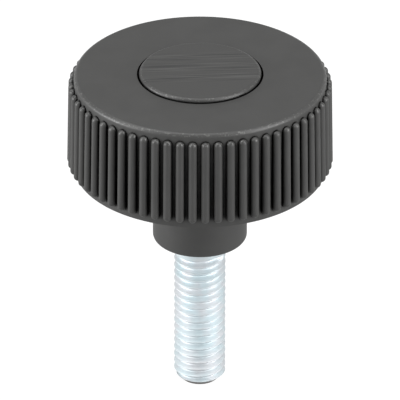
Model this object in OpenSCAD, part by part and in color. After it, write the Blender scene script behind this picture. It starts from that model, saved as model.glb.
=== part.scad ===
// Knurled hand knob with a clamping stud. It has three pieces: a moulded plastic
// body, a steel stud whose hexagon head sits in a pocket of the body, and a plastic
// cover cap that clicks into the top face over that head.
// The origin is the centre of the hub's seating face. The stud points down, to -Z.

/* [Head] */
// Height of the head, from its open rim to its top face
head_h = 19.7; // [18:0.1:26]
// Diameter of the smooth wall that carries the ribs
head_d = 47.6; // [46:0.1:60]
// Radius of the rounded edge round the top face
top_round = 0.9; // [0.3:0.1:1.5]
// Thickness of the outer wall at the rim
wall_t = 2.6; // [2:0.1:4]
// Thickness of the plate that closes the hollow at the top
plate_t = 3; // [2:0.1:4]
// Taper of the hollow's walls, in degrees
core_draft = 1; // [0.5:0.1:2]
// Number of webs between the hub and the outer wall
web_count = 8; // [4:1:12]
// Thickness of a web
web_t = 1.8; // [1:0.1:3]
// Distance that the webs' lower edges stand back from the rim
web_back = 2; // [0.5:0.1:4]

/* [Grip ribs] */
// Number of ribs round the head
rib_count = 64; // [40:1:66]
// Width of a rib, which is also the diameter of its round outer side and ends
rib_w = 1.58; // [1.2:0.02:2]
// Distance that a rib stands proud of the wall at its lower end
rib_proud = 1.32; // [1.2:0.02:1.8]
// Lean of the ribs, which come closer to the wall towards the top, in degrees
rib_draft = 1.15; // [0.5:0.05:1.5]
// Distance from the top face down to the ribs' upper ends
rib_top_gap = 1.55; // [1:0.05:3]
// Distance from the rim up to the ribs' lower ends
rib_low_gap = 1.25; // [0.5:0.05:3]

/* [Hub] */
// Diameter of the hub
hub_d = 17.9; // [16.5:0.1:21]
// Height of the hub, from its seating face to the plane of the rim
hub_h = 15.2; // [8:0.1:25]
// Radius of the rounded edge round the seating face
hub_round = 0.8; // [0.3:0.1:1.5]

/* [Stud] */
// Crest diameter of the stud's thread
thread_d = 9.8; // [8:0.05:11]
// Length of thread that stands out of the hub
thread_l = 30.8; // [20:0.1:60]
// Length of the chamfer at the stud's end, cut at 45 degrees
end_chamfer = 1.4; // [0.5:0.1:2]
// Diameter of the plain shoulder inside the hub
shoulder_d = 12; // [11.2:0.1:13]
// Clearance on the radius between the shoulder and its bore
shoulder_fit = 0.03; // [0.01:0.01:0.1]
// Width across the flats of the hexagon head
hex_af = 16; // [14:0.1:17]
// Height of the hexagon head
hex_h = 6.4; // [5:0.1:7]
// Clearance between each flat and the pocket
hex_fit = 0.1; // [0.05:0.01:0.3]
// Distance that the head stands over the recess floor, into the cap
hex_proud = 0.8; // [0:0.1:1.5]
// Thickness of the floor that the head sits on
floor_t = 2.6; // [2:0.1:4]

/* [Cover cap] */
// Diameter of the recess that the cap clicks into
recess_d = 23.8; // [22.5:0.1:25]
// Depth of that recess
recess_depth = 5; // [4.5:0.1:5.5]
// Gap all round between the cap and the recess
cap_gap = 0.4; // [0.1:0.05:0.6]
// Distance that the cap stands proud of the top face
cap_proud = 0.45; // [0:0.05:0.8]
// Radius of the cap's rounded upper edge
cap_round = 0.4; // [0.2:0.1:1]
// Thickness of the cap's plate
cap_t = 2; // [1.2:0.1:2.4]
// Thickness of the cap's skirt
skirt_t = 1.2; // [0.8:0.1:1.4]
// Number of slots that let the skirt spring
slot_count = 6; // [3:1:8]
// Width of a slot
slot_w = 1.4; // [0.8:0.1:2]
// Distance that the skirt's bead reaches into the groove past the recess wall
bead_grip = 0.15; // [0.1:0.05:0.3]
// Height of the bead's crest over the recess floor
bead_h = 1.4; // [1.2:0.1:2]
// Clearance round the bead in its groove
groove_fit = 0.1; // [0.05:0.05:0.2]

/* [Hidden] */

// Facets of a large round, of a small one, and of a rib's outer side
$fn = 48;
small_fn = 16;
rib_fn = 14;

head_r = head_d / 2;
hub_r = hub_d / 2;
top_z = hub_h + head_h;
recess_r = recess_d / 2;
recess_z = top_z - recess_depth;
hex_z = recess_z + hex_proud - hex_h;
// How far a cutter runs past the face that it opens
past = 1;

// The boss round the hexagon pocket, which widens upwards to carry the recess
boss_z = hex_z - floor_t;
boss_wall = 1.9;
boss_top_r = recess_r + boss_wall;
boss_low_r = hex_across_corners(hex_af + 2 * hex_fit) / 2 + boss_wall;
roof_z = top_z - plate_t;
rim_in_r = head_r - wall_t;
roof_in_r = rim_in_r - (roof_z - hub_h) * tan(core_draft);

// The ribs' round outer side is a rod of this radius, whose lower end is at rod_r
rod_rad = rib_w / 2;
rod_r = head_r + rib_proud - rod_rad;
rod_l = (head_h - rib_top_gap - rib_low_gap - rib_w) / cos(rib_draft);
rod_low_z = hub_h + rib_low_gap + rod_rad;
// How far a rib's root reaches in from the rod's axis, into the wall
root_l = rib_proud;

bead_z = recess_z + bead_h;
cap_r = recess_r - cap_gap;
// The bead's lower flank is the gentle one, so that the cap clicks in easily
bead_lead = 0.9;
bead_catch = 0.5;

// Distance across the corners of a hexagon of the given width across flats
function hex_across_corners(af) = af / cos(30);

// A rectangle from the axis out to r, from z0 up to z1, as half of a turned section
module bar(r, z0, z1) {
    translate([0, z0]) square([r, z1 - z0]);
}

// The same, with its outer upper corner rounded
module bar_round_top(r, z0, z1, round_r) {
    bar(r, z0, z1 - round_r);
    bar(r - round_r, z0, z1);
    translate([r - round_r, z1 - round_r]) circle(round_r, $fn = small_fn);
}

// Section of the bead, grown by a clearance, from inside the skirt out to its crest
module bead_section(fit) {
    root_r = cap_r - skirt_t / 2;
    crest_r = recess_r + bead_grip + fit;
    polygon([
        [root_r, bead_z - bead_lead - fit], [cap_r, bead_z - bead_lead - fit],
        [crest_r, bead_z - fit], [crest_r, bead_z + fit],
        [cap_r, bead_z + bead_catch + fit], [root_r, bead_z + bead_catch + fit]
    ]);
}

// Half section of the hollow between the hub and the outer wall, open at the rim
module hollow_section() {
    polygon([
        [hub_r, hub_h - past], [hub_r, boss_z], [boss_low_r, boss_z],
        [boss_top_r, roof_z], [roof_in_r, roof_z], [rim_in_r, hub_h], [rim_in_r, hub_h - past]
    ]);
}

// Half section of the body without its webs, ribs and hexagon pocket
module body_section() {
    difference() {
        union() {
            difference() {
                bar_round_top(head_r, hub_h, top_z, top_round);
                hollow_section();
            }
            // The hub's lower corner is rounded, so the rounded bar is turned over
            mirror([0, 1]) bar_round_top(hub_r, -hub_h, 0, hub_round);
        }
        bar(shoulder_d / 2 + shoulder_fit, -past, hex_z + past);
        bar(recess_r, recess_z, top_z + past);
        bead_section(groove_fit);
    }
}

// Outline of one web, seen from its side. Its ends run into the boss and the wall.
module web_section() {
    inset = boss_wall / 2;
    polygon([
        [hub_r - inset, hub_h + web_back], [hub_r - inset, boss_z + inset],
        [boss_low_r - inset, boss_z + inset], [boss_top_r - inset, roof_z],
        [boss_top_r - inset, roof_z + inset], [roof_in_r + inset, roof_z + inset],
        [rim_in_r + inset, hub_h + web_back]
    ]);
}

module webs() {
    for (i = [0 : web_count - 1])
        rotate([0, 0, (i + 0.5) * 360 / web_count])
            rotate([90, 0, 0])
                linear_extrude(web_t, center = true) web_section();
}

// Outline of a rib seen from outside: a slot shape with round ends
module rib_outline() {
    translate([-rod_rad, 0]) square([rib_w, rod_l]);
    circle(rod_rad, $fn = rib_fn);
    translate([0, rod_l]) circle(rod_rad, $fn = rib_fn);
}

// One rib on the +X side: the outer half of a round-ended rod, on a root of the same
// outline that ties it to the wall
module rib() {
    translate([rod_r, 0, rod_low_z]) rotate([0, -rib_draft, 0]) {
        rotate([0, 0, -90]) rotate_extrude(angle = 180, $fn = rib_fn)
            intersection() {
                rib_outline();
                bar(rib_w, -rib_w, rod_l + rib_w);
            }
        rotate([90, 0, 90]) translate([0, 0, -root_l]) linear_extrude(root_l) rib_outline();
    }
}

module ribs() {
    for (i = [0 : rib_count - 1])
        rotate([0, 0, i * 360 / rib_count]) rib();
}

// The moulded body: ribbed head, hollow underneath, on a round hub
module knob_body() {
    color([0.29, 0.29, 0.285])
        difference() {
            union() {
                rotate_extrude() body_section();
                webs();
                ribs();
            }
            translate([0, 0, hex_z])
                cylinder(d = hex_across_corners(hex_af + 2 * hex_fit), h = hex_h + past, $fn = 6);
        }
}

// The steel stud: hexagon head, plain shoulder flush with the seating face, thread
module threaded_stud() {
    thread_r = thread_d / 2;
    // The head's corners are turned off at 30 degrees where it is wider than this
    face_r = hex_af / 2 * 0.95;
    turned_h = hex_h + face_r * tan(30);
    color([0.80, 0.83, 0.85]) {
        rotate_extrude()
            polygon([
                [0, -thread_l], [thread_r - end_chamfer, -thread_l],
                [thread_r, -thread_l + end_chamfer], [thread_r, 0],
                [shoulder_d / 2, 0], [shoulder_d / 2, hex_z + past], [0, hex_z + past]
            ]);
        translate([0, 0, hex_z]) intersection() {
            cylinder(d = hex_across_corners(hex_af), h = hex_h, $fn = 6);
            cylinder(r1 = turned_h / tan(30), r2 = 0, h = turned_h);
        }
    }
}

// Half section of the cap: a shallow cup, upside down, with a bead round its skirt
module cap_section() {
    difference() {
        union() {
            bar_round_top(cap_r, recess_z, top_z + cap_proud, cap_round);
            bead_section(0);
        }
        bar(cap_r - skirt_t, recess_z - past, top_z + cap_proud - cap_t);
    }
}

// The cover cap, whose skirt is slotted so that the bead can spring past the edge
module cover_cap() {
    color([0.29, 0.29, 0.285])
        difference() {
            rotate_extrude() cap_section();
            for (i = [0 : slot_count - 1])
                rotate([0, 0, i * 360 / slot_count])
                    translate([cap_r - skirt_t - past, -slot_w / 2, recess_z - past])
                        cube([skirt_t + 2 * past, slot_w, recess_depth + cap_proud - cap_t + past]);
        }
}

knob_body();
threaded_stud();
cover_cap();
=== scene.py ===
"""A knurled hand knob: a moulded body, a zinc-plated stud and a cover cap, in metres."""

import math

import bmesh
import bpy
import numpy as np
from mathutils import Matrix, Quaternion, Vector


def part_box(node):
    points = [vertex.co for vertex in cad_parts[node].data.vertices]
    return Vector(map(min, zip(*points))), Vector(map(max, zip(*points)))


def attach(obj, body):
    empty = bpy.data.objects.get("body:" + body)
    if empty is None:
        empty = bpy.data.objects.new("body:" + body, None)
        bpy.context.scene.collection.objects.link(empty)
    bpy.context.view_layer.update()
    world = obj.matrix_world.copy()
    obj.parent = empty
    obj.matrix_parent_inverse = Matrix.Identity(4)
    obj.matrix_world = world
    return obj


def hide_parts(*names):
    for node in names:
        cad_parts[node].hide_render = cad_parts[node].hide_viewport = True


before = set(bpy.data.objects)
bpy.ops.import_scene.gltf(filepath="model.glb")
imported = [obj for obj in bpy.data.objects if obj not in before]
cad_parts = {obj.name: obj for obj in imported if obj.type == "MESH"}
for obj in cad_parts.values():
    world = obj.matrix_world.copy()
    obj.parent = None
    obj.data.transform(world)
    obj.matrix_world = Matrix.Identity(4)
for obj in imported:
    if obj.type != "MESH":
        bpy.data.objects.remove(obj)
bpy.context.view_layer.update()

# ---------------------------------------------------------------------------
# Knob body. One injection moulding in black glass-filled polyamide, which looks dark
# grey because the spark-eroded mould leaves its skin matt. Its ribs, webs and edges are
# the CAD node's own, so the node stays and takes this material.
# ---------------------------------------------------------------------------

MM = 0.001

# The moulding's colour where it is open, the painted shade deep between the ribs, and the lighter
# colour of nicks, partly pale glass fibres that show and partly painted glints
PLASTIC = "#282827"
PLASTIC_PAINTED_SHADE = "#0A0A0A"
PLASTIC_NICKED_AND_GLINT = "#4C4C4A"
# Matt eroded polyamide: dull, with little of the shine that its IOR gives
MATT = {"Roughness": 0.62, "IOR": 1.53}
RUBBED_ROUGHNESS = 0.4
# Within this distance of another wall a place gets the painted shade of a gap
PAINTED_SHADE_REACH = 0.9 * MM
# The two ends of a mask
NONE, FULL = (0, 0, 0, 1), (1, 1, 1, 1)


def linear(hex_colour):
    """An sRGB hex colour as linear RGBA, by the sRGB curve."""
    srgb = [int(hex_colour[i : i + 2], 16) / 255 for i in (1, 3, 5)]
    return [c / 12.92 if c <= 0.04045 else ((c + 0.055) / 1.055) ** 2.4 for c in srgb] + [1.0]


def add_node(tree, kind, settings=None, stops=(), **links):
    """Adds a node. settings sets its properties and unlinked sockets. stops gives a colour
    ramp its positions, in rising order, each with its colour. links gives the output
    socket that feeds each input: by the input's name with _ for a space, or by _ and its
    number."""
    node = tree.nodes.new(kind)
    for name, value in (settings or {}).items():
        if isinstance(name, int) or name in node.inputs:
            node.inputs[name].default_value = value
        else:
            setattr(node, name, value)
    if stops:
        ramp = node.color_ramp.elements
        ramp[0].position, ramp[0].color = stops[0]
        ramp[1].position, ramp[1].color = stops[-1]
        for position, colour in stops[1:-1]:
            ramp.new(position).color = colour
    for name, socket in links.items():
        key = int(name[1:]) if name[1:].isdigit() else name.replace("_", " ")
        tree.links.new(socket, node.inputs[key])
    return node


def new_material(name, **principled):
    """A material with one Principled BSDF, whose uniform values are set on its sockets."""
    material = bpy.data.materials.new(name)
    material.use_nodes = True
    tree = material.node_tree
    shader = tree.nodes["Principled BSDF"]
    for socket, value in principled.items():
        shader.inputs[socket.replace("_", " ")].default_value = value
    return material, tree, shader


def eroded_plastic(tree, shader, place, colour):
    """Gives a matt moulding its grain, painted shade in its gaps, and its rubbed edges with nicks
    and painted glints. colour is the output socket that holds the colour of its open, untouched
    skin."""
    # The real grain is about 0.1 mm across; it is drawn at 0.3 mm so that it shows.
    grain = add_node(
        tree,
        "ShaderNodeTexNoise",
        {"Scale": 1 / (0.3 * MM), "Detail": 2.0},
        Vector=place.outputs["Object"],
    )
    bump = add_node(
        tree, "ShaderNodeBump", {"Strength": 0.15, "Distance": 0.03 * MM}, Height=grain.outputs[0]
    )
    tree.links.new(bump.outputs["Normal"], shader.inputs["Normal"])
    # Painted shade: a gap is painted near black and loses its shine, standing in for the shade
    # there. A place that is less than 0.6 open is all gap, and one that is over 0.8 open is none.
    air = add_node(tree, "ShaderNodeAmbientOcclusion", {"Distance": PAINTED_SHADE_REACH, "samples": 8})
    openness = add_node(
        tree, "ShaderNodeMapRange", {"From Min": 0.6, "From Max": 0.8}, Value=air.outputs["AO"]
    )
    gap_painted_shade = add_node(
        tree,
        "ShaderNodeMix",
        {"data_type": "RGBA", 6: linear(PLASTIC_PAINTED_SHADE)},
        _0=openness.outputs[0],
        _7=colour,
    )
    # Painted shade: the gaps lose their shine.
    shine = add_node(
        tree, "ShaderNodeMapRange", {"To Min": 0.0, "To Max": 0.5}, Value=openness.outputs[0]
    )
    tree.links.new(shine.outputs[0], shader.inputs["Specular IOR Level"])
    # Hands rub the edges that lean between upright and level, in specks 0.4 mm across.
    lean = add_node(tree, "ShaderNodeSeparateXYZ", Vector=place.outputs["Normal"])
    edge = add_node(
        tree,
        "ShaderNodeValToRGB",
        stops=[(0.1, NONE), (0.35, FULL), (0.9, FULL), (0.99, NONE)],
        Fac=lean.outputs["Z"],
    )
    specks = add_node(
        tree,
        "ShaderNodeTexNoise",
        {"Scale": 1 / (0.4 * MM), "Detail": 1.0},
        Vector=place.outputs["Object"],
    )
    speck_rub = add_node(
        tree,
        "ShaderNodeMapRange",
        {"From Min": 0.4, "From Max": 0.66, "To Min": 0.6},
        Value=specks.outputs[0],
    )
    rub = add_node(
        tree,
        "ShaderNodeMath",
        {"operation": "MULTIPLY"},
        _0=edge.outputs["Color"],
        _1=speck_rub.outputs[0],
    )
    roughness = add_node(
        tree,
        "ShaderNodeMapRange",
        {"To Min": MATT["Roughness"], "To Max": RUBBED_ROUGHNESS},
        Value=rub.outputs[0],
    )
    tree.links.new(roughness.outputs[0], shader.inputs["Roughness"])
    # Where the rub is strongest the colour is lighter: partly nicks that show the glass fibres,
    # partly painted glints.
    nicks_and_glints = add_node(
        tree, "ShaderNodeMapRange", {"From Min": 0.9, "From Max": 1.0}, Value=rub.outputs[0]
    )
    skin = add_node(
        tree,
        "ShaderNodeMix",
        {"data_type": "RGBA", 7: linear(PLASTIC_NICKED_AND_GLINT)},
        _0=nicks_and_glints.outputs[0],
        _6=gap_painted_shade.outputs[2],
    )
    tree.links.new(skin.outputs[2], shader.inputs["Base Color"])


# The glass fibres swirl as the plastic flows, which leaves soft lighter and darker patches
# about 6 mm across in the dull skin.
polyamide, tree, shader = new_material("glass_filled_polyamide_eroded", **MATT)
place = add_node(tree, "ShaderNodeTexCoord")
flow = add_node(
    tree,
    "ShaderNodeTexNoise",
    {"Scale": 1 / (6 * MM), "Detail": 3.0},
    Vector=place.outputs["Object"],
)
patches = add_node(
    tree,
    "ShaderNodeValToRGB",
    stops=[(0.35, linear("#252524")), (0.65, linear("#2B2B2A"))],
    Fac=flow.outputs[0],
)
eroded_plastic(tree, shader, place, patches.outputs["Color"])
for material_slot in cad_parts["knob_body"].material_slots:
    material_slot.material = polyamide

# ---------------------------------------------------------------------------
# Threaded stud. A steel bolt with a hexagon head inside the body, thread-rolled to
# M10 x 1.5 and zinc plated with a blue passivation. The CAD node has the thread's
# crest as a plain cylinder; this piece cuts the helical groove into it.
# ---------------------------------------------------------------------------

stud_low, stud_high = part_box("threaded_stud")
THREAD_L = -stud_low[2]
CREST_R = 4.9 * MM
PITCH = 1.5 * MM
# An ISO groove: its depth, the flat left between two turns, and a flank's slope
GROOVE_DEPTH = 0.6134 * PITCH
CREST_FLAT = PITCH / 8
FLANK_SLOPE = math.tan(math.radians(30))
# Widths over which a groove's corners are rounded, as shares of its depth
CREST_ROUND, ROOT_ROUND = 0.2, 0.5
# Height of a groove's centre on the +X side, the angle where the groove starts under the
# hub, and the angle over which it gets its full depth
GROOVE_Z = -3.21 * MM
GROOVE_START = math.radians(-22)
RUN_OUT = math.radians(25)
CHAMFER = 1.4 * MM
SHOULDER_R = 6 * MM
HEX_AF = stud_high[1] - stud_low[1]
HEX_H = 6.4 * MM
HEAD_Z = stud_high[2]
# The head's corners are turned off at 30 degrees outside this radius
HEX_FACE_R = HEX_AF / 2 * 0.95
TURNED_SLOPE = math.tan(math.radians(30))
# Points of the grid that are nearer than this are one point
STUD_WELD = 0.0005 * MM


def soft_step(x, low_round, high_round):
    """x held between 0 and 1, with its two corners rounded over the given widths:
    each corner is a hyperbola that leaves the straight line by a quarter of its width."""
    rise = 0.5 * (x + np.sqrt(x * x + low_round * low_round / 4))
    over = rise - 1
    return rise - 0.5 * (over + np.sqrt(over * over + high_round * high_round / 4))


def thread_radius(angle, z):
    """Radius of the thread at an angle and a height. The groove's centre climbs one pitch
    a turn, the flanks stand 60 degrees apart, and the groove gets shallow where it starts.
    The end's chamfer is a cone at 45 degrees."""
    turns = (z - GROOVE_Z) / PITCH - angle / (2 * math.pi)
    groove = np.round(turns)
    off_centre = np.abs(turns - groove) * PITCH
    flank = (PITCH - CREST_FLAT) / 2 - off_centre
    depth = soft_step(flank / FLANK_SLOPE / GROOVE_DEPTH, CREST_ROUND, ROOT_ROUND)
    along = angle + 2 * math.pi * groove
    depth = depth * np.clip((GROOVE_START - along) / RUN_OUT, 0, 1)
    cone = CREST_R - CHAMFER + (z + THREAD_L)
    return np.minimum(CREST_R - GROOVE_DEPTH * depth, cone)


def hexagon_radius(angle, across_flats):
    """Distance from the axis to a hexagon's side at an angle, corners on the X axis."""
    from_flat = (angle % (math.pi / 3)) - math.pi / 6
    return across_flats / 2 / np.cos(from_flat)


def stud_surface(columns, rows_a_pitch):
    """The stud as one grid: rings from the centre of its end up to the centre of its head.
    In the thread each ring climbs one pitch a turn, so that the rings follow the helix,
    and the rings outside the thread's length lie on its ends."""
    angle = np.linspace(0, 2 * math.pi, columns + 1)
    rings = int(math.ceil(THREAD_L / PITCH)) * rows_a_pitch + 1
    step = np.arange(-rows_a_pitch, rings)[:, None] / rows_a_pitch
    z = np.clip((step + angle / (2 * math.pi)) * PITCH - THREAD_L, -THREAD_L, 0)
    radius = thread_radius(angle, z)
    ring = np.ones_like(angle)
    hexagon = hexagon_radius(angle, HEX_AF)
    ends = [
        (0 * ring, -THREAD_L * ring),
        (SHOULDER_R * ring, 0 * ring),
        (SHOULDER_R * ring, (HEAD_Z - HEX_H) * ring),
        (hexagon, (HEAD_Z - HEX_H) * ring),
        (hexagon, HEAD_Z - (hexagon - HEX_FACE_R) * TURNED_SLOPE),
        (HEX_FACE_R * ring, HEAD_Z * ring),
        (0 * ring, HEAD_Z * ring),
    ]
    radius = np.vstack([ends[0][0], radius] + [r for r, _ in ends[1:]])
    z = np.vstack([ends[0][1], z] + [h for _, h in ends[1:]])
    return np.stack([radius * np.cos(angle), radius * np.sin(angle), z], axis=-1)


def grid_piece(name, points, material, sharp_degrees):
    """A mesh object from a grid of points, row by row. Points that coincide at the seam,
    at the poles and on an end are merged, and edges over the angle are sharp."""
    rows, columns = points.shape[:2]
    corner = np.arange(rows * columns).reshape(rows, columns)
    faces = np.stack(
        [corner[:-1, :-1], corner[:-1, 1:], corner[1:, 1:], corner[1:, :-1]], axis=-1
    )
    mesh = bpy.data.meshes.new(name)
    mesh.from_pydata(points.reshape(-1, 3), [], faces.reshape(-1, 4))
    piece = bpy.data.objects.new(name, mesh)
    bpy.context.scene.collection.objects.link(piece)
    shape = bmesh.new()
    shape.from_mesh(mesh)
    bmesh.ops.remove_doubles(shape, verts=shape.verts, dist=STUD_WELD)
    bmesh.ops.dissolve_degenerate(shape, edges=shape.edges, dist=STUD_WELD)
    bmesh.ops.recalc_face_normals(shape, faces=shape.faces)
    shape.to_mesh(mesh)
    shape.free()
    mesh.polygons.foreach_set("use_smooth", np.ones(len(mesh.polygons), dtype=bool))
    mesh.set_sharp_from_angle(angle=math.radians(sharp_degrees))
    mesh.materials.append(material)
    return piece


# Zinc plate with a blue passivation: a pale satin metal with a cold cast, whose thin
# clear film tints patches about 3 mm across faintly towards cyan.
zinc, tree, shader = new_material("zinc_plate_blue_passivated", Metallic=1.0, Roughness=0.64)
place = add_node(tree, "ShaderNodeTexCoord")
film = add_node(
    tree,
    "ShaderNodeTexNoise",
    {"Scale": 1 / (3 * MM), "Detail": 1.0},
    Vector=place.outputs["Object"],
)
tint = add_node(
    tree,
    "ShaderNodeValToRGB",
    stops=[(0.35, linear("#C6D1D5")), (0.65, linear("#CDD0D3"))],
    Fac=film.outputs[0],
)
# Painted shade: the plate's colour darkens towards the free end, to 0.86 there, to even out
# the stronger light that the end gets than the part under the hub.
height = add_node(tree, "ShaderNodeSeparateXYZ", Vector=place.outputs["Object"])
end_painted_shade = add_node(
    tree,
    "ShaderNodeMapRange",
    {"From Min": -THREAD_L, "From Max": 0.0, "To Min": 0.86},
    Value=height.outputs["Z"],
)
plate = add_node(
    tree,
    "ShaderNodeVectorMath",
    {"operation": "SCALE"},
    _0=tint.outputs["Color"],
    Scale=end_painted_shade.outputs[0],
)
# Painted shade: the thread's crests are darkened, a fifth of their colour being the dark grey,
# to draw the thin dark lines of shade between the turns. This is full down to 0.02 mm below the
# crest and gone at 0.12 mm.
sideways = add_node(
    tree,
    "ShaderNodeVectorMath",
    {"operation": "MULTIPLY", 1: (1, 1, 0)},
    _0=place.outputs["Object"],
)
from_axis = add_node(tree, "ShaderNodeVectorMath", {"operation": "LENGTH"}, _0=sideways.outputs[0])
off_crest = add_node(
    tree,
    "ShaderNodeMapRange",
    {"From Min": CREST_R - 0.02 * MM, "From Max": CREST_R - 0.12 * MM, "To Min": 0.8},
    Value=from_axis.outputs["Value"],
)
# Painted dark reflection: the end is dark grey up to 0.8 mm and plated from 1.2 mm up, standing in
# for the shadowed paper under the end that its chamfer mirrors.
off_end = add_node(
    tree,
    "ShaderNodeMapRange",
    {"From Min": -THREAD_L + 0.8 * MM, "From Max": -THREAD_L + 1.2 * MM},
    Value=height.outputs["Z"],
)
plate_outside_painted_shade = add_node(
    tree,
    "ShaderNodeMath",
    {"operation": "MINIMUM"},
    _0=off_crest.outputs[0],
    _1=off_end.outputs[0],
)
# The dark grey paints shade on the crests and a dark reflection on the end.
plate_with_painted_shade = add_node(
    tree,
    "ShaderNodeMix",
    {"data_type": "RGBA", 6: linear("#5A5856")},
    _0=plate_outside_painted_shade.outputs[0],
    _7=plate.outputs[0],
)
tree.links.new(plate_with_painted_shade.outputs[2], shader.inputs["Base Color"])

stud = grid_piece("stud", stud_surface(columns=96, rows_a_pitch=40), zinc, sharp_degrees=35)
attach(stud, "root")
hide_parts("threaded_stud")

# ---------------------------------------------------------------------------
# Cover cap. A separate moulding in the same polyamide, clicked into the top. Its plate
# has faint straight streaks side by side, from the tool's fine milling. It is the CAD
# node's own shape with a wider rounding on the upper edge.
# ---------------------------------------------------------------------------

# The streaks' width, length and turn from the X axis, and the slice of the noise that
# they are drawn from
STREAK_W = 0.36 * MM
STREAK_L = 12 * MM
STREAK_TURN = math.radians(-1.6)
STREAK_SLICE = 11
# They lie in three bands: each one's distance across the streaks from the plate's centre,
# and its width. It fades out on both sides, from 0.4 to 0.8 of its width off its middle.
BANDS = ((-2.7 * MM, 2.6 * MM), (1.3 * MM, 3.0 * MM), (5.6 * MM, 2.2 * MM))
FADE = ((-0.8, NONE), (-0.4, FULL), (0.4, FULL), (0.8, NONE))
# Distance from the centre that the ramp of the bands covers on each side
BANDS_REACH = 12 * MM
# The cap's outside radius, and the rounding of its upper edge in the CAD node and here
CAP_R = 11.5 * MM
CAD_ROUND = 0.4 * MM
CAP_ROUND = 0.7 * MM
# Points of the copy that are nearer than this are one point
CAP_WELD = 0.0001 * MM
# How far past the CAD rounding's own width a point may lie and still be on it
ROUND_SLACK = 0.001 * MM

# The same dull moulding, whose colour is a little lighter or darker along the streaks
cap_polyamide, tree, shader = new_material("glass_filled_polyamide_streaked", **MATT)
place = add_node(tree, "ShaderNodeTexCoord")
turned = add_node(
    tree, "ShaderNodeMapping", {"Rotation": (0, 0, STREAK_TURN)}, Vector=place.outputs["Object"]
)
drawn_out = add_node(
    tree,
    "ShaderNodeMapping",
    {"Scale": (1 / STREAK_L, 1 / STREAK_W, 0), "Location": (0, 0, STREAK_SLICE)},
    Vector=turned.outputs["Vector"],
)
lines = add_node(
    tree, "ShaderNodeTexNoise", {"Scale": 1.0, "Detail": 1.0}, Vector=drawn_out.outputs["Vector"]
)
streaks = add_node(
    tree,
    "ShaderNodeValToRGB",
    stops=[(0.36, linear("#0C0C0C")), (0.5, linear(PLASTIC)), (0.66, linear("#3A3A39"))],
    Fac=lines.outputs[0],
)
across = add_node(tree, "ShaderNodeSeparateXYZ", Vector=turned.outputs["Vector"])
band = add_node(
    tree,
    "ShaderNodeMapRange",
    {"From Min": -BANDS_REACH, "From Max": BANDS_REACH},
    Value=across.outputs["Y"],
)
strength = add_node(
    tree,
    "ShaderNodeValToRGB",
    stops=sorted(
        (0.5 + (centre + share * width) / (2 * BANDS_REACH), level)
        for centre, width in BANDS
        for share, level in FADE
    ),
    Fac=band.outputs[0],
)
streaked = add_node(
    tree,
    "ShaderNodeMix",
    {"data_type": "RGBA", 6: linear(PLASTIC)},
    _0=strength.outputs["Color"],
    _7=streaks.outputs["Color"],
)
eroded_plastic(tree, shader, place, streaked.outputs[2])


def rounder_edge(node_name, name, material):
    """A copy of the cap's CAD node with a rounder upper edge. The rounding grows from its
    lower end on the wall: in the section through the axis every point of it keeps its
    direction from there and moves out by the ratio of the two radii. The plate's face
    rises with it. A growth in proportion turns no surface, so the node's normals stay."""
    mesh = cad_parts[node_name].data.copy()
    mesh.name = name
    normals = np.empty((len(mesh.loops), 3), dtype=np.float32)
    mesh.corner_normals.foreach_get("vector", normals.ravel())
    shape = bmesh.new()
    shape.from_mesh(mesh)
    bmesh.ops.remove_doubles(shape, verts=shape.verts, dist=CAP_WELD)
    shape.to_mesh(mesh)
    shape.free()
    points = np.empty((len(mesh.vertices), 3), dtype=np.float32)
    mesh.vertices.foreach_get("co", points.ravel())
    radius = np.hypot(points[:, 0], points[:, 1])
    wall_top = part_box(node_name)[1][2] - CAD_ROUND
    above = np.maximum(points[:, 2] - wall_top, 0)
    inside = CAP_R - radius
    rounded = (above > 0) & (inside > 0) & (inside < CAD_ROUND + ROUND_SLACK)
    growth = CAP_ROUND / CAD_ROUND - 1
    points[:, 2] += growth * above
    points[rounded, :2] *= (1 - growth * inside[rounded] / radius[rounded])[:, None]
    mesh.vertices.foreach_set("co", points.ravel())
    mesh.normals_split_custom_set(normals.tolist())
    mesh.materials.clear()
    mesh.materials.append(material)
    piece = bpy.data.objects.new(name, mesh)
    bpy.context.scene.collection.objects.link(piece)
    return piece


cap = rounder_edge("cover_cap", "cap", cap_polyamide)
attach(cap, "root")
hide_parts("cover_cap")

# ---------------------------------------------------------------------------
# The set. White paper under the stud's end, a white backdrop that gives no light, soft
# boxes on both sides and overhead, and the camera.
# ---------------------------------------------------------------------------

# The paper lies just clear of the stud's end
FLOOR_Z = -THREAD_L - 0.01 * MM
FLOOR_HALF = 3.0
# Of what the eye gets from the paper, this share is a glow of this strength, so that it
# looks white, and the rest is the lit paper with the knob's shadow
GLOW_SHARE = 0.8
GLOW = 1.2
LAMP_DISTANCE = 0.8
# The camera looks down at 29 degrees through a long lens, a tenth of a degree off level.
# The focal length is in pixels of a picture that is 400 pixels wide.
AIM = Vector((0.006 * MM, 0.0, 7.74 * MM))
AZIMUTH, ELEVATION, ROLL = math.radians(-2.4), math.radians(29.26), math.radians(0.11)
CAMERA_DISTANCE = 1.355
FOCAL_PX = 7143
PICTURE_PX = 400


def white_to_eye(tree):
    """1 for rays that the eye, a reflection or a glass sends out, and 0 for the rest."""
    path = add_node(tree, "ShaderNodeLightPath")
    seen = add_node(
        tree,
        "ShaderNodeMath",
        {"operation": "MAXIMUM"},
        _0=path.outputs["Is Camera Ray"],
        _1=path.outputs["Is Glossy Ray"],
    )
    return add_node(
        tree,
        "ShaderNodeMath",
        {"operation": "MAXIMUM"},
        _0=seen.outputs[0],
        _1=path.outputs["Is Transmission Ray"],
    ).outputs[0]


def direction(azimuth, elevation):
    """Unit vector away from the knob, by two angles in radians: the azimuth, 0 in front and
    a quarter turn on the right, and the elevation over the level."""
    level = math.cos(elevation)
    return Vector((math.sin(azimuth) * level, -math.cos(azimuth) * level, math.sin(elevation)))


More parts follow.
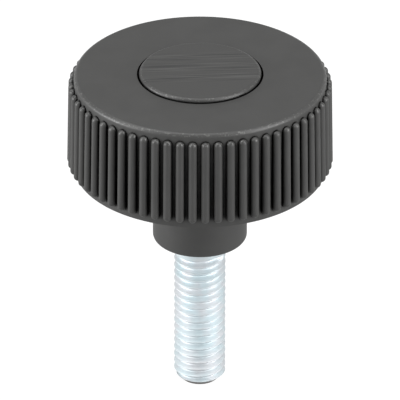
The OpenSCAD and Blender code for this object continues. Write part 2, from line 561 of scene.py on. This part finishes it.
floor_mesh = bpy.data.meshes.new("floor")
floor_mesh.from_pydata(
    [(x * FLOOR_HALF, y * FLOOR_HALF, FLOOR_Z) for x, y in ((-1, -1), (1, -1), (1, 1), (-1, 1))],
    [],
    [(0, 1, 2, 3)],
)
floor = bpy.data.objects.new("floor", floor_mesh)
bpy.context.scene.collection.objects.link(floor)
# Plain matt paper. Under these lamps alone it would look a light grey.
paper, tree, shader = new_material("white_paper", Base_Color=linear("#BCBCBC"), Roughness=0.9)
glow = add_node(tree, "ShaderNodeEmission", {"Strength": GLOW})
glow_part = add_node(
    tree, "ShaderNodeMath", {"operation": "MULTIPLY", 1: GLOW_SHARE}, _0=white_to_eye(tree)
)
lit = add_node(
    tree,
    "ShaderNodeMixShader",
    Fac=glow_part.outputs[0],
    _1=shader.outputs["BSDF"],
    _2=glow.outputs["Emission"],
)
tree.links.new(lit.outputs[0], tree.nodes["Material Output"].inputs["Surface"])
floor_mesh.materials.append(paper)

world = bpy.data.worlds.new("studio")
bpy.context.scene.world = world
world.use_nodes = True
tree = world.node_tree
tree.nodes.clear()
room = add_node(tree, "ShaderNodeBackground", {"Strength": 0.0})
backdrop = add_node(tree, "ShaderNodeBackground", {"Color": linear("#FFFFFF"), "Strength": 1.0})
sky = add_node(
    tree,
    "ShaderNodeMixShader",
    Fac=white_to_eye(tree),
    _1=room.outputs[0],
    _2=backdrop.outputs[0],
)
add_node(tree, "ShaderNodeOutputWorld", Surface=sky.outputs[0])


def soft_box(name, azimuth, elevation, width, height, power):
    """A soft light that faces the knob: angles in degrees, sides in metres, power in watts."""
    way = direction(math.radians(azimuth), math.radians(elevation))
    data = bpy.data.lights.new(name, "AREA")
    data.shape, data.size, data.size_y, data.energy = "RECTANGLE", width, height, power
    lamp = bpy.data.objects.new(name, data)
    bpy.context.scene.collection.objects.link(lamp)
    lamp.location = way * LAMP_DISTANCE
    lamp.rotation_mode = "QUATERNION"
    lamp.rotation_quaternion = way.to_track_quat("Z", "Y")
    lamp.visible_camera = False


soft_box("soft_box_left", azimuth=-82, elevation=8, width=0.45, height=0.28, power=5.7)
soft_box("soft_box_left_tall", azimuth=-68, elevation=33, width=0.3, height=0.9, power=2.4)
soft_box("soft_box_left_high", azimuth=-85, elevation=60, width=0.35, height=0.3, power=1.7)
soft_box("soft_box_right", azimuth=56, elevation=8, width=0.6, height=0.28, power=2.6)
soft_box("soft_box_right_tall", azimuth=60, elevation=33, width=0.3, height=0.9, power=6.2)
soft_box("soft_box_over", azimuth=0, elevation=89, width=0.35, height=0.35, power=1.7)

camera_data = bpy.data.cameras.new("camera")
camera_data.lens = camera_data.sensor_width * FOCAL_PX / PICTURE_PX
camera_data.clip_start, camera_data.clip_end = 0.1, 20
camera = bpy.data.objects.new("camera", camera_data)
bpy.context.scene.collection.objects.link(camera)
back = direction(AZIMUTH, ELEVATION)
camera.location = AIM + back * CAMERA_DISTANCE
camera.rotation_mode = "QUATERNION"
camera.rotation_quaternion = back.to_track_quat("Z", "Y") @ Quaternion((0, 0, 1), ROLL)
bpy.context.scene.camera = camera
bpy.context.scene.view_settings.view_transform = "Standard"
